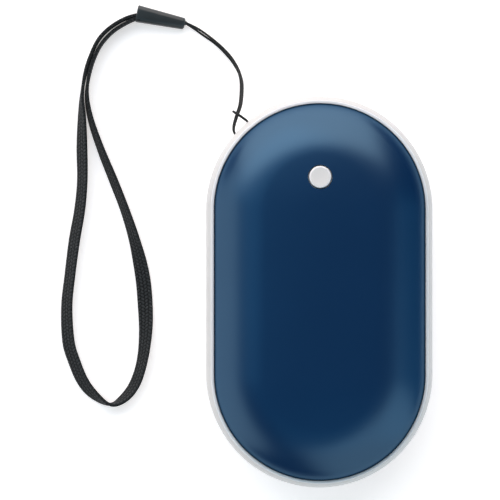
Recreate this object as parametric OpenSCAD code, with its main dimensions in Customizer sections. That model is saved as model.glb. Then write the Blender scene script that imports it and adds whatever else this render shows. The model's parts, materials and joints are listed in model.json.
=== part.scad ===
// Rechargeable pocket hand warmer with a wrist strap.
// It lies on its back: X across, Y along it, Z up through the button side.
// The origin is on the surface that it lies on, under the middle of the case.

/* [Case] */
// Width of the case
case_w = 59; // [58.5:0.5:62]
// Length of the case
case_l = 102; // [101.5:0.5:110]
// Thickness of the case without the button
case_h = 25; // [24.8:0.1:26]
// Rise of each cover's middle above the circle of its shoulder
crown_rise = 0.4; // [0.3:0.05:0.5]
// Radius of the soft shoulder round each cover's crown
shoulder_r = 24; // [22:0.5:25]
// Slope at which that shoulder goes over into the tighter side
shoulder_turn = 30; // [27:1:32]
// Depth of the flat land that the case rests on
land_d = 0.3; // [0.2:0.05:0.4]

/* [Covers] */
// Thickness of the metal covers
cover_t = 1; // [0.8:0.05:1.1]
// Gap all round between a cover and its frame
cover_gap = 0.2; // [0.15:0.01:0.25]
// Half the height of the wall between the two cover seats
seat_z = 4.2; // [4:0.1:4.4]

/* [Side band] */
// Height of the white band between the covers
band_h = 10.3; // [10:0.1:10.6]
// Width of the band's flat lip beside a cover
lip_w = 0.65; // [0.5:0.05:0.7]
// Thickness of the band's wall at the seam
wall_t = 3.3; // [3.2:0.05:3.4]
// Width of the tongue that aligns the two frames
tongue_w = 1; // [0.8:0.1:1.2]
// Height of that tongue
tongue_h = 1.2; // [0.8:0.1:1.6]
// Clearance round the tongue in its groove
tongue_clear = 0.1; // [0.05:0.01:0.15]
// Width of the shadow line along the seam
seam_w = 0.25; // [0.15:0.05:0.35]

/* [Eyelet] */
// Angle of the eyelet round the top end, from the right
eyelet_angle = 134; // [130:1:140]
// Radius of the curved tunnel's centre line
eyelet_r = 2.4; // [2.3:0.05:2.5]
// Width of the tunnel
tunnel_w = 1.3; // [1.2:0.05:1.4]
// Height of the tunnel
tunnel_h = 2.3; // [2.2:0.05:2.5]
// Depth of the tunnel's centre inside the band's outer face
eyelet_depth = 0.3; // [0.2:0.05:0.4]
// Wall left round the tunnel
eyelet_wall = 1; // [0.8:0.1:1.1]

/* [Button] */
// Distance of the button from the centre of the case's top end
button_in = 8.2; // [8.1:0.05:8.4]
// Radius of the button's head
button_r = 2.85; // [2.6:0.05:3.1]
// Gap round the button's head
button_gap = 0.3; // [0.25:0.05:0.35]
// Height of the head above the cover
button_proud = 0.35; // [0.25:0.05:0.5]
// Depth of the dish in the head
dish_d = 0.15; // [0.1:0.05:0.2]
// Radius of the flange that keeps the button in
flange_r = 4; // [3.8:0.1:4.2]
// Thickness of that flange
flange_t = 0.8; // [0.6:0.1:0.9]
// Radius of the button's stem
stem_r = 1.5; // [1.3:0.1:1.7]
// Clearance round the flange and above it
flange_clear = 0.3; // [0.25:0.05:0.35]
// How far the button travels
button_travel = 0.4; // [0.3:0.05:0.45]
// Wall of the ring that guides the button
guide_wall = 1.2; // [1:0.1:1.4]
// Thickness of the guide's floor
guide_floor = 0.5; // [0.4:0.05:0.6]

/* [Switch] */
// Width of the switch's body
switch_w = 6; // [5.6:0.1:6.2]
// Height of the switch's body
switch_body_h = 3.5; // [3.2:0.1:3.8]
// Height of the switch up to the top of its plunger
switch_h = 9.5; // [9.3:0.1:9.6]
// Radius of the plunger
plunger_r = 1.75; // [1.5:0.05:1.8]
// Gap round the plunger
plunger_gap = 0.1; // [0.08:0.01:0.15]
// Length of plunger inside the body
plunger_in = 1; // [0.8:0.1:1.2]

/* [Charging inlet] */
// Width of the inlet's metal shell
usb_w = 8.94; // [8.8:0.01:9]
// Height of the shell
usb_h = 3.26; // [3.2:0.01:3.3]
// Length of the shell
usb_l = 7.35; // [7:0.05:7.6]
// Thickness of the shell's sheet
usb_t = 0.3; // [0.25:0.05:0.35]
// How far the shell's mouth stands inside the band's outer face
usb_set_back = 0.6; // [0.4:0.1:0.8]
// Gap between the shell and the opening in the band
usb_gap = 0.25; // [0.2:0.05:0.35]
// Width of the tongue inside the shell
contact_w = 6.7; // [6.4:0.1:6.8]
// Thickness of that tongue
contact_t = 0.7; // [0.6:0.05:0.8]
// Length of that tongue
contact_l = 4.6; // [4.2:0.1:5]

/* [Board] */
// Thickness of the circuit board
board_t = 1.2; // [1:0.1:1.3]
// Distance of the board's straight edge from the centre of the top end
board_in = 5.2; // [5.1:0.05:5.3]
// Gap between the board's round edge and the wall
board_gap = 1.6; // [1.5:0.1:1.8]
// Distance from the battery bracket to the board
board_clear = 0.3; // [0.2:0.05:0.4]
// Width of the control chip
chip_w = 6; // [5:0.5:6.5]
// Height of the control chip
chip_h = 1.6; // [1.2:0.1:1.8]
// Width of the charging chip
charger_w = 4; // [3.5:0.25:4]
// Width of the inductor
inductor_w = 6; // [5:0.5:6]
// Height of the inductor
inductor_h = 3; // [2.5:0.1:3.5]
// Radius of the round capacitor
capacitor_r = 1.6; // [1.4:0.1:1.8]
// Height of the round capacitor
capacitor_h = 4.6; // [4:0.1:5]
// Length of an indicator light
led_l = 2; // [1.6:0.1:2.2]
// Width of an indicator light
led_w = 1.2; // [1:0.1:1.3]
// Height of an indicator light
led_h = 0.9; // [0.7:0.1:1.1]

/* [Battery] */
// Radius of the raised terminal on a cell
terminal_r = 3; // [2.5:0.1:3.3]
// Height of that terminal
terminal_h = 0.8; // [0.6:0.1:1]
// Clearance round the cells in their bracket
cell_clear = 0.1; // [0.05:0.01:0.15]
// Height of the battery bracket
bracket_h = 10; // [9:0.5:11]
// Thickness of the bracket's thinnest side wall
bracket_wall = 1.35; // [1.2:0.05:1.4]
// Thickness of the bracket's end walls
bracket_end = 0.8; // [0.7:0.1:0.9]
// Thickness of the nickel strips
strip_t = 0.2; // [0.15:0.05:0.25]
// Height of the nickel strips
strip_h = 6; // [5:0.5:7]
// Width of the protection board
guard_w = 4.6; // [4.4:0.1:4.8]
// Length of the protection board
guard_l = 34; // [30:1:38]
// Thickness of the protection board
guard_t = 0.8; // [0.6:0.1:0.9]
// How far that board's end lies inside the cells' end
guard_back = 2; // [1.5:0.5:3]
// Length of that board left free of foam, for its leads
guard_free = 5; // [4:0.5:6]
// Radius of the battery's leads
lead_r = 0.4; // [0.3:0.05:0.45]
// Distance between the two leads of a pair
lead_pitch = 2.3; // [2:0.1:2.6]

/* [Heaters] */
// Thickness of a heater film
heater_t = 0.3; // [0.25:0.05:0.4]
// Half the width of a heater film
heater_r = 16; // [14:0.5:17]
// Thickness of the glue between film and cover
glue_t = 0.05; // [0.04:0.01:0.06]
// Least thickness of foam between a cell and a film
foam_least = 1.2; // [1.2:0.05:1.4]
// Half the width of a foam pad
foam_r = 14; // [12:0.5:15]
// Distance of a foam pad's end from the cells' lower end
foam_end = 8; // [5:0.5:12]
// Radius of the heaters' leads
film_lead_r = 0.3; // [0.2:0.05:0.35]
// Distance of the heaters' leads from the middle line
film_lead_x = 9.6; // [9:0.1:10]
// Radius of the heat sensor's bead
sensor_r = 0.8; // [0.6:0.05:0.9]

/* [Screws] */
// Radius of a screw's shank
screw_r = 1; // [0.9:0.05:1.1]
// Length of a case screw under its head
screw_l = 7.4; // [7:0.1:7.6]
// Length of a board screw under its head
board_screw_l = 3.8; // [3.6:0.1:4]
// Radius of a screw's head
head_r = 1.9; // [1.7:0.05:2]
// Height of a screw's head
head_h = 1.2; // [1:0.1:1.4]
// Clearance of a screw in its hole
screw_clear = 0.05; // [0.03:0.01:0.1]
// Radius of the bosses and ears that take the case screws
boss_r = 2.75; // [2.5:0.05:2.8]
// Thickness of the bracket's ears
ear_t = 1.6; // [1.4:0.1:1.8]
// Thickness of the front frame's ears
clamp_t = 2.4; // [2.2:0.1:2.6]
// How far the bosses reach below the rear cover's seat
boss_drop = 2; // [1.5:0.1:2.2]
// Gap between a boss and the band's inner face
boss_gap = 0.45; // [0.4:0.05:0.5]
// Gap between a boss and the battery bracket
boss_clear = 0.35; // [0.3:0.05:0.4]
// Distance of the case screws inside the centres of the ends
screw_in = 2.5; // [2:0.1:5]

/* [Lanyard] */
// Thickness of the thin cord
cord_d = 0.6; // [0.5:0.05:0.6]
// Width of the wrist strap
strap_w = 4; // [3.5:0.1:4.2]
// Thickness of the wrist strap
strap_t = 0.9; // [0.8:0.05:0.95]
// Length of the ferrule without its collar
ferrule_l = 12.9; // [12.7:0.1:13.1]
// Width of the ferrule at the strap
ferrule_w = 4.5; // [4.3:0.1:4.7]
// Height of the ferrule at the strap
ferrule_h = 4.2; // [4.1:0.1:4.4]
// Width of the ferrule at the cord
ferrule_tip_w = 3.05; // [2.8:0.05:3.2]
// Height of the ferrule at the cord
ferrule_tip_h = 2.6; // [2.5:0.1:2.8]
// Radius of the ferrule's long edges
ferrule_corner = 1.2; // [1.05:0.05:1.25]
// Width of the rounding at the ferrule's strap end
ferrule_edge = 0.3; // [0.2:0.05:0.4]
// Width of the rounding at its cord end
ferrule_tip_edge = 0.6; // [0.5:0.05:0.6]
// Length of the collar at the cord
collar_l = 0.4; // [0.35:0.05:0.6]
// Width of that collar
collar_w = 1.2; // [1.1:0.05:1.25]
// Height of that collar
collar_h = 1.5; // [1.4:0.1:1.6]
// Radius of the collar's edges
collar_corner = 0.5; // [0.4:0.05:0.55]
// How far the collar lies beside the ferrule's middle
collar_off = 0.25; // [0.15:0.05:0.25]

/* [Hidden] */

// Overrun of every cut, and the steps of round shapes
over = 2;
$fn = 96;

// Heights here are measured from the seam between the frames
straight = case_l - case_w;
half_h = (case_h + land_d) / 2;
seam_z = half_h - land_d;
side_r = (half_h - crown_rise - shoulder_r * (1 - cos(shoulder_turn))) / cos(shoulder_turn);
side_x = case_w / 2 - side_r;
shoulder_x = side_x + (side_r - shoulder_r) * sin(shoulder_turn);
shoulder_z = (side_r - shoulder_r) * cos(shoulder_turn);
crown_turn = 2 * atan(crown_rise / shoulder_x);
crown_r = shoulder_r + shoulder_x / sin(crown_turn);
end_y = straight / 2;
band_z = band_h / 2;
lip_x = side_x + sqrt(side_r * side_r - band_z * band_z);
cover_x = lip_x - lip_w - cover_gap;
inner_x = case_w / 2 - wall_t;
tongue_x = inner_x + (wall_t - tongue_w) / 2;

// Eyelet
eyelet_x = (case_w / 2 - eyelet_depth) * cos(eyelet_angle);
eyelet_y = end_y + (case_w / 2 - eyelet_depth) * sin(eyelet_angle);
eyelet_boss_r = eyelet_r + tunnel_w / 2 + eyelet_wall;
eyelet_boss_h = tunnel_h + 2 * eyelet_wall;

// Charging inlet and board
board_z = -usb_h / 2;
board_r = inner_x - board_gap;
board_y = end_y + board_in;
usb_y = case_l / 2 - usb_set_back - usb_l;

// Button
button_y = end_y + button_in;
head_z = crown_z(button_in) + button_proud;
flange_z = crown_z(button_in + flange_r) - cover_t - flange_clear;
plunger_z = board_z + switch_h;
guide_r = flange_r + flange_clear + guide_wall;
guide_z = flange_z - flange_t - button_travel - flange_clear - guide_floor;
dish_r = (pow(button_r, 2) + pow(dish_d, 2)) / (2 * dish_d);

// Screws
screw_x = inner_x - boss_r - boss_gap;
screw_y = end_y - screw_in;
boss_z = -seat_z - boss_drop;
board_screw_shares = [0.67, 0.61];
board_screw_at = [board_screw_shares.x * board_r, end_y + board_screw_shares.y * board_r];

// Battery, with the largest cells that fit beside the screws and between the films
bracket_x = screw_x - boss_r - boss_clear;
bracket_y = board_y - board_clear;
cell_r = min(
  (bracket_x - bracket_wall) / 2 - cell_clear * 3 / 4,
  half_h - crown_rise - cover_t - glue_t - heater_t - foam_least
);
cell_x = cell_r + cell_clear / 2;
cell_end = end_y + sqrt(pow(inner_x - 2 * cell_clear, 2) - pow(cell_x + cell_r, 2));
cell_y = bracket_y - bracket_end - cell_clear - strip_t;
cell_l = cell_y + cell_end;
guard_z = sqrt(pow(cell_r, 2) - pow(cell_x - guard_w / 2, 2)) + cell_clear;
foam_z = guard_z + guard_t + cell_clear;

guard_y = cell_y - guard_back;
foam_y = guard_y - guard_free;
foam_l = foam_y + cell_end - foam_end;

// Places of the small pieces on the board, from its straight edge
chip_shares = [-0.41, 0.22];
charger_shares = [-0.33, 0.52];
inductor_shares = [0.41, 0.22];
capacitor_shares = [0.33, 0.5];
decoupling_shares = [0, 0.42];
lead_shares = [-0.27, 0.045];
film_lead_y = board_y + board_r * 0.41;

// Route of the thin cord: out of the collar, round the eyelet's bar and back
cord_route = [
  [-35.3, 71.0, 1.6], [-32.1, 69.5, 1.0], [-29.8, 68.0, 0.7], [-27.2, 66.0, 0.7],
  [-25.1, 64.1, 0.8], [-23.1, 61.9, 1.3], [-21.6, 59.5, 2.2], [-20.6, 57.1, 3.6],
  [-20.0, 54.1, 6.3], [-20.3, 49.1, 10.8], [-21.4, 45.7, 12.3], [-22.2, 43.0, 12.7],
  [-22.1, 41.4, 12.7], [-20.8, 40.2, 12.7], [-18.9, 40.5, 12.7], [-17.9, 42.3, 12.7],
  [-18.6, 44.2, 12.8], [-19.8, 45.3, 13.0], [-21.4, 46.4, 13.0], [-22.15, 46.85, 12.6],
  [-22.45, 47.05, 11.7], [-22.15, 46.85, 10.8], [-21.3, 46.35, 10.35], [-19.8, 45.3, 10.7],
  [-18.6, 44.2, 11.8], [-17.9, 42.3, 12.0], [-18.9, 40.5, 12.0], [-20.8, 40.2, 12.0],
  [-22.1, 41.4, 12.0], [-22.4, 43.0, 12.0], [-21.8, 45.7, 11.7], [-20.8, 49.1, 10.1],
  [-20.5, 54.1, 5.5], [-20.9, 57.1, 2.8], [-22.0, 59.4, 1.3], [-23.6, 61.7, 0.6],
  [-26.9, 65.1, 0.3], [-30.8, 67.9, 0.3], [-32.9, 69.4, 0.5], [-35.3, 70.9, 1.0]
];

// Route of the wrist strap: place, and its lean from flat on its face
strap_route = [
  [-46.9, 72.6, 90], [-48.0, 72.8, 90], [-51.2, 71.8, 90], [-55.0, 69.5, 90],
  [-58.0, 66.4, 90], [-60.2, 61.8, 90], [-61.6, 57.1, 90], [-62.4, 51.5, 82],
  [-62.4, 46.1, 64], [-62.4, 38.0, 49], [-62.3, 29.3, 51], [-63.0, 21.5, 48],
  [-64.4, 13.4, 46], [-65.6, 4.0, 49], [-66.4, -4.0, 46], [-66.0, -13.0, 39],
  [-64.5, -18.3, 40], [-62.3, -23.5, 43], [-59.4, -27.1, 56], [-55.1, -29.8, 88],
  [-51.6, -28.4, 117], [-48.5, -24.5, 129], [-46.5, -18.3, 131], [-45.6, -10.5, 147],
  [-45.8, -2.4, 168], [-46.6, 5.0, 159], [-48.5, 13.4, 133], [-51.0, 21.3, 121],
  [-54.1, 29.3, 119], [-57.3, 37.2, 113], [-60.0, 45.1, 106], [-61.1, 51.5, 98],
  [-60.5, 57.1, 90], [-59.0, 61.9, 90], [-57.0, 65.6, 90], [-54.0, 68.7, 90],
  [-50.6, 70.8, 90], [-48.3, 71.8, 90], [-47.0, 71.6, 90]
];

// Place and turn of the ferrule, from its strap end
ferrule_at = [-47.9, 73.25, 0];
ferrule_turn = -12;

cover_blue = [0.09, 0.2, 0.36];
case_white = [0.87, 0.87, 0.85];
board_green = [0.05, 0.3, 0.2];
chip_black = [0.08, 0.08, 0.09];
lead_black = [0.1, 0.1, 0.1];
nickel = [0.75, 0.74, 0.7];
steel = [0.7, 0.7, 0.72];
copper_film = [0.72, 0.42, 0.16];
foam_grey = [0.3, 0.3, 0.32];

// Height of the crowned cover at a distance from the middle line
function crown_z(x) = half_h - crown_r + sqrt(crown_r * crown_r - x * x);

function unit(v) = v / norm(v);

// Direction of a route at one of its points
function heading(route, i) =
  unit(route[min(i + 1, len(route) - 1)] - route[max(i - 1, 0)]);

// Part of v that is square to t
function square_to(v, t) = unit(v - (v * t) * t);

// Side vectors along a route, each turned as little as possible from the last
function carried(route, start) = [
  for (
    i = 0, v = square_to(start, heading(route, 0));
    i < len(route);
    i = i + 1, v = i < len(route) ? square_to(v, heading(route, i)) : v
  ) v
];

// Surface through rings of points, closed at both ends
module skin(rings) {
  n = len(rings[0]);
  last = len(rings) - 1;
  points = [for (ring = rings) each ring];
  walls = [
    for (i = [0:last - 1], j = [0:n - 1])
      let (a = i * n + j, b = i * n + (j + 1) % n)
        each [[a, a + n, b], [b, a + n, b + n]]
  ];
  near_end = [for (j = [1:n - 2]) [0, j, j + 1]];
  far_end = [for (j = [1:n - 2]) [last * n, last * n + j + 1, last * n + j]];
  polyhedron(points, concat(walls, near_end, far_end), convexity = 10);
}

// Round tube along a route
module tube(route, r, start = [0, 0, 1], sides = 8) {
  ups = carried(route, start);
  skin([
    for (i = [0:len(route) - 1])
      let (t = heading(route, i), u = ups[i], v = cross(t, u))
        [for (j = [0:sides - 1]) route[i] + r * (cos(360 * j / sides) * u + sin(360 * j / sides) * v)]
  ]);
}

module at_seam() {
  translate([0, 0, seam_z]) children();
}

// Outline with round ends, that far from the middle line
module obround(r) {
  for (s = [-1, 1])
    translate([0, s * end_y]) circle(r);
  square([2 * r, straight], center = true);
}

// Part of the case's cross-section up to a distance from its middle line,
// with a face of radius r above and below
module section_band(reach, x, z, r) {
  intersection() {
    translate([x, z]) circle(r, $fn = 720);
    translate([x, -z]) circle(r, $fn = 720);
    translate([0, -case_h]) square([reach, 2 * case_h]);
  }
}

// Half of that cross-section, that far inside the case's outer face
module half_section(inset) {
  crown_end = (crown_r - inset) * sin(crown_turn);
  shoulder_end = side_x + (side_r - inset) * sin(shoulder_turn);
  section_band(crown_end, 0, half_h - crown_r, crown_r - inset);
  section_band(shoulder_end, shoulder_x, shoulder_z, shoulder_r - inset);
  translate([side_x, 0]) circle(side_r - inset);
}

// A half section carried round the whole case
module around_case() {
  for (turn = [0, 180])
    rotate([0, 0, turn]) {
      translate([0, end_y, 0]) rotate_extrude(angle = 180) children();
      rotate([90, 0, 0]) linear_extrude(straight, center = true) children();
    }
}

module case_solid(inset) {
  around_case() half_section(inset);
}

// Both covers are this shell, before the button's hole or the flat land
module cover_shell() {
  around_case() difference() {
    intersection() {
      half_section(0);
      translate([0, seat_z]) square([cover_x, case_h]);
    }
    intersection() {
      half_section(cover_t);
      square([cover_x - cover_t, case_h]);
    }
  }
}

module front_cover() {
  color(cover_blue) at_seam() difference() {
    cover_shell();
    translate([0, button_y, 0]) cylinder(r = button_r + button_gap, h = case_h);
  }
}

module rear_cover() {
  color(cover_blue) difference() {
    at_seam() mirror([0, 0, 1]) cover_shell();
    translate([-case_w / 2, -case_l / 2, -over]) cube([case_w, case_l, over]);
  }
}

// Wall of the band above the seam, with the seat for its cover
module band_wall() {
  around_case() difference() {
    intersection() {
      half_section(0);
      translate([inner_x, 0]) square([wall_t, band_z]);
    }
    translate([inner_x - over, seat_z]) square([cover_x + cover_gap - inner_x + over, case_h]);
  }
}

// Tongue under the front frame, or with a clearance the groove for it
module tongue(clear) {
  translate([0, 0, -tongue_h - clear]) around_case()
    translate([tongue_x - clear, 0]) square([tongue_w + 2 * clear, tongue_h + clear + seam_w]);
}

// Solid wall round the eyelet's tunnel
module eyelet_boss() {
  intersection() {
    translate([eyelet_x, eyelet_y, 0])
      cylinder(r = eyelet_boss_r, h = eyelet_boss_h, center = true);
    case_solid(seam_w);
  }
}

// Curved tunnel for the cord, round the bar that it is hitched to
module eyelet_tunnel() {
  flat = tunnel_h - tunnel_w;
  translate([eyelet_x, eyelet_y, 0]) rotate_extrude() translate([eyelet_r, 0]) {
    square([tunnel_w, flat], center = true);
    for (s = [-1, 1])
      translate([0, s * flat / 2]) circle(tunnel_w / 2);
  }
}

// Bar with round sides, as wide and high as the inlet's shell plus a gap
module inlet_bar(length, gap) {
  r = usb_h / 2 + gap;
  flat = usb_w - usb_h;
  rotate([-90, 0, 0]) linear_extrude(length) {
    square([flat, 2 * r], center = true);
    for (s = [-1, 1])
      translate([s * flat / 2, 0]) circle(r);
  }
}

module inlet_opening() {
  translate([0, end_y + board_r, 0]) inlet_bar(case_w / 2, usb_gap);
}

// Each of the four case screws' places
module at_case_screws() {
  for (x = [-1, 1], y = [-1, 1])
    translate([x * screw_x, y * screw_y, 0]) rotate([0, 0, x > 0 ? 0 : 180]) children();
}

module at_board_screws() {
  for (s = [-1, 1])
    translate([s * board_screw_at.x, board_screw_at.y, 0])
      rotate([0, 0, atan2(board_screw_at.y - end_y, s * board_screw_at.x)]) children();
}

// Round boss with a web that runs on to the wall at its +X side
module boss(r, low, high, web_low, reach) {
  translate([0, 0, low]) cylinder(r = r, h = high - low);
  translate([0, -boss_r / 2, web_low]) cube([reach, boss_r, high - web_low]);
}

module screw_hole() {
  cylinder(r = screw_r + screw_clear, h = 2 * case_h, center = true);
}

module front_frame() {
  color(case_white) at_seam() difference() {
    union() {
      band_wall();
      tongue(0);
      intersection() {
        eyelet_boss();
        linear_extrude(case_h) obround(case_w);
      }
      at_case_screws() boss(boss_r, 0, clamp_t, 0, inner_x + cover_gap - screw_x);
    }
    at_case_screws() screw_hole();
    eyelet_tunnel();
    inlet_opening();
  }
}

module rear_frame() {
  web = inner_x + cover_gap;
  color(case_white) at_seam() difference() {
    union() {
      mirror([0, 0, 1]) band_wall();
      intersection() {
        eyelet_boss();
        mirror([0, 0, 1]) linear_extrude(case_h) obround(case_w);
      }
      at_case_screws() boss(boss_r, boss_z, -ear_t, -seat_z, web - screw_x);
      at_board_screws() boss(
        boss_r, boss_z, board_z - board_t, -seat_z, web - norm(board_screw_at - [0, end_y])
      );
    }
    at_case_screws() screw_hole();
    at_board_screws() screw_hole();
    tongue(tongue_clear);
    translate([0, 0, -seam_w]) around_case()
      translate([case_w / 2 - seam_w, 0]) square([seam_w + over, seam_w + over]);
    eyelet_tunnel();
    inlet_opening();
  }
}

// Pan-head screw, its head above z = 0
module screw(length) {
  difference() {
    cylinder(r = head_r, h = head_h);
    for (turn = [0, 90])
      rotate([0, 0, turn]) translate([0, 0, head_h])
        cube([2 * screw_r, screw_r / 2, head_h], center = true);
  }
  translate([0, 0, -length]) cylinder(r = screw_r, h = length);
}

module case_screws() {
  color(steel) at_seam() translate([0, 0, clamp_t]) at_case_screws() screw(screw_l);
}

module board_screws() {
  color(steel) at_seam() translate([0, 0, board_z]) at_board_screws() screw(board_screw_l);
}

module button_cap() {
  color(case_white) at_seam() translate([0, button_y, 0]) difference() {
    union() {
      translate([0, 0, flange_z - flange_t]) cylinder(r = button_r, h = head_z - flange_z + flange_t);
      translate([0, 0, flange_z - flange_t]) cylinder(r = flange_r, h = flange_t);
      translate([0, 0, plunger_z]) cylinder(r = stem_r, h = flange_z - plunger_z);
    }
    translate([0, 0, head_z + dish_r - dish_d]) sphere(dish_r);
  }
}

module button_guide() {
  color(case_white) at_seam() intersection() {
    translate([0, button_y, guide_z]) difference() {
      cylinder(r = guide_r, h = case_h);
      translate([0, 0, guide_floor]) cylinder(r = flange_r + flange_clear, h = case_h);
      translate([0, 0, -over]) cylinder(r = stem_r + 2 * flange_clear, h = case_h);
    }
    case_solid(cover_t + glue_t);
  }
}

module tact_switch() {
  leg_w = switch_body_h / 5;
  color(chip_black) at_seam() translate([0, button_y, board_z]) difference() {
    union() {
      translate([-switch_w / 2, -switch_w / 2, 0]) cube([switch_w, switch_w, switch_body_h]);
      for (x = [-1, 1], y = [-1, 1])
        translate([x * (switch_w + leg_w) / 2 - leg_w / 2, y * switch_w / 3 - leg_w / 2, 0])
          cube([leg_w, leg_w, switch_body_h / 2]);
    }
    translate([0, 0, switch_body_h - plunger_in - button_travel - plunger_gap])
      cylinder(r = plunger_r + plunger_gap, h = switch_h);
  }
}

module switch_plunger() {
  color(chip_black) at_seam() translate([0, button_y, board_z + switch_body_h - plunger_in])
    cylinder(r = plunger_r, h = switch_h - switch_body_h + plunger_in);
}

// Lights on the board, one each side of the switch, that shine into the button
module indicator_leds() {
  led_x = switch_w / 2 + led_w;
  color("white") at_seam() for (s = [-1, 1])
    translate([s * led_x - led_w / 2, button_y - led_l / 2, board_z]) {
      cube([led_w, led_l, led_h / 2]);
      translate([led_w / 8, led_l / 8, 0]) cube([led_w * 3 / 4, led_l * 3 / 4, led_h]);
    }
}

module main_board() {
  color(board_green) at_seam() translate([0, 0, board_z - board_t]) difference() {
    linear_extrude(board_t) intersection() {
      translate([0, end_y]) circle(board_r);
      translate([-board_r, board_y]) square(2 * board_r);
    }
    at_board_screws() screw_hole();
  }
}

module usb_shell() {
  color(steel) at_seam() translate([0, usb_y, 0]) difference() {
    inlet_bar(usb_l, 0);
    translate([0, -over, 0]) inlet_bar(usb_l + 2 * over, -usb_t);
  }
}

// Insulating block at the back of the shell, with its contact tongue
module usb_tongue() {
  back = usb_t * 3;
  color(chip_black) at_seam() translate([0, usb_y, 0]) {
    inlet_bar(back, -usb_t);
    translate([-contact_w / 2, 0, -contact_t / 2]) cube([contact_w, back + contact_l, contact_t]);
  }
}

// Place on the board, in shares of its radius from the middle of its straight edge
module on_board(shares) {
  translate([shares.x * board_r, board_y + shares.y * board_r, seam_z + board_z]) children();
}

// Chip with a row of legs along two sides
module chip(w, l, h, legs) {
  leg = w / (2 * legs);
  translate([-w / 2, -l / 2, h / 8]) cube([w, l, h * 7 / 8]);
  for (s = [-1, 1], i = [0:legs - 1])
    translate([(i + 0.5) * w / legs - w / 2 - leg / 2, s > 0 ? l / 2 - leg : -l / 2 - leg, 0])
      cube([leg, 2 * leg, h / 2]);
}

module control_chip() {
  color(chip_black) on_board(chip_shares) chip(chip_w, chip_w * 0.8, chip_h, 6);
}

module charger_chip() {
  color(chip_black) on_board(charger_shares) chip(charger_w, charger_w * 0.8, chip_h, 4);
}

// Square core with a round trough pressed into its top
module power_inductor() {
  color([0.25, 0.25, 0.26]) on_board(inductor_shares) difference() {
    translate([-inductor_w / 2, -inductor_w / 2, 0]) cube([inductor_w, inductor_w, inductor_h]);
    translate([0, 0, inductor_h * 0.85]) difference() {
      cylinder(r = inductor_w * 0.42, h = inductor_h);
      cylinder(r = inductor_w * 0.3, h = 3 * inductor_h, center = true);
    }
  }
}

// Round capacitor, and three flat ones behind the inlet
module capacitors() {
  flat_l = capacitor_r * 1.2;
  color([0.55, 0.42, 0.3]) {
    on_board(capacitor_shares) cylinder(r = capacitor_r, h = capacitor_h);
    on_board(decoupling_shares) for (i = [-1:1])
      translate([i * flat_l - flat_l / 4, 0, 0]) cube([flat_l / 2, flat_l, flat_l / 2]);
  }
}

// Two cells side by side, each with a neck and a raised terminal
module battery_cells() {
  can_l = cell_l - terminal_h;
  color([0.2, 0.45, 0.5]) at_seam() for (s = [-1, 1])
    translate([s * cell_x, cell_y, 0]) rotate([90, 0, 0]) {
      cylinder(r = terminal_r, h = terminal_h + over);
      translate([0, 0, terminal_h]) difference() {
        cylinder(r = cell_r, h = can_l);
        translate([0, 0, 2 * terminal_h]) rotate_extrude()
          translate([cell_r, 0]) circle(terminal_h / 2);
      }
    }
}

// Room for both cells and their strips
module cell_pockets(clear) {
  for (s = [-1, 1])
    translate([s * cell_x, cell_y + clear + strip_t, 0]) rotate([90, 0, 0])
      cylinder(r = cell_r + clear, h = cell_l + 2 * (clear + strip_t));
}

module battery_bracket() {
  low_y = cell_y - cell_l - strip_t - cell_clear - bracket_end;
  color([0.15, 0.15, 0.16]) at_seam() difference() {
    union() {
      intersection() {
        translate([-bracket_x, low_y, -bracket_h / 2])
          cube([2 * bracket_x, bracket_y - low_y, bracket_h]);
        linear_extrude(case_h, center = true) obround(inner_x - 2 * tongue_clear - bracket_end);
      }
      at_case_screws() translate([0, 0, -ear_t]) {
        cylinder(r = boss_r, h = ear_t);
        translate([bracket_x - bracket_wall / 2 - screw_x, -boss_r, 0])
          cube([screw_x - bracket_x + bracket_wall / 2, 2 * boss_r, ear_t]);
      }
    }
    cell_pockets(cell_clear);
    translate([-cell_x, cell_y - cell_l - strip_t - cell_clear, -strip_h / 2 - cell_clear])
      cube([2 * cell_x, cell_l + 2 * (strip_t + cell_clear), strip_h + 2 * cell_clear]);
    at_case_screws() screw_hole();
  }
}

module nickel_strips() {
  color(nickel) at_seam() for (y = [cell_y, cell_y - cell_l - strip_t])
    translate([-cell_x - terminal_r, y, -strip_h / 2])
      cube([2 * (cell_x + terminal_r), strip_t, strip_h]);
}

// Narrow board in the groove between the cells, with two small switches on it
module protection_board() {
  part_w = guard_w * 0.6;
  color(board_green) at_seam() translate([-guard_w / 2, guard_y - guard_l, guard_z]) {
    cube([guard_w, guard_l, guard_t]);
    for (i = [1:3])
      translate([(guard_w - part_w) / 2, i * guard_l / 4, 0])
        cube([part_w, part_w, guard_t + cell_clear / 2]);
  }
}

// Wires of a pair, side by side, along one route
module wire_pair(route, r, apart) {
  for (s = [-1, 1])
    tube([for (p = route) p + [s * apart / 2, 0, 0]], r);
}

// From the protection board over the bracket's end, and down to the main board
module battery_leads() {
  top = guard_z + guard_t + lead_r;
  land = [lead_shares.x * board_r, board_y + lead_shares.y * board_r];
  color(lead_black) at_seam() wire_pair([
    [0, guard_y - guard_free + 2 * lead_r, top],
    [0, guard_y, top],
    [land.x / 4, bracket_y, top - 2 * lead_r],
    [land.x * 3 / 4, land.y - lead_r, guard_z / 2],
    [land.x, land.y, board_z + 4 * lead_r],
    [land.x, land.y, board_z]
  ], lead_r, lead_pitch);
}

// Wires of one heater, from its film down or up to a face of the main board
module film_leads(side, board_face) {
  r = film_lead_r;
  start_y = film_lead_y - 2 * lead_pitch;
  under_film = crown_z(norm([film_lead_x + 2 * r, start_y - end_y])) - cover_t - glue_t - heater_t - r;
  translate([-side * film_lead_x, 0, 0]) wire_pair([
    [0, start_y, side * (under_film - glue_t)],
    [0, start_y + 4 * r, side * (under_film - r)],
    [0, film_lead_y - 2 * r, side * (under_film - 4 * r)],
    [0, film_lead_y, side * (under_film - 12 * r)],
    [0, film_lead_y, board_face]
  ], r, 4 * r);
}

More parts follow.
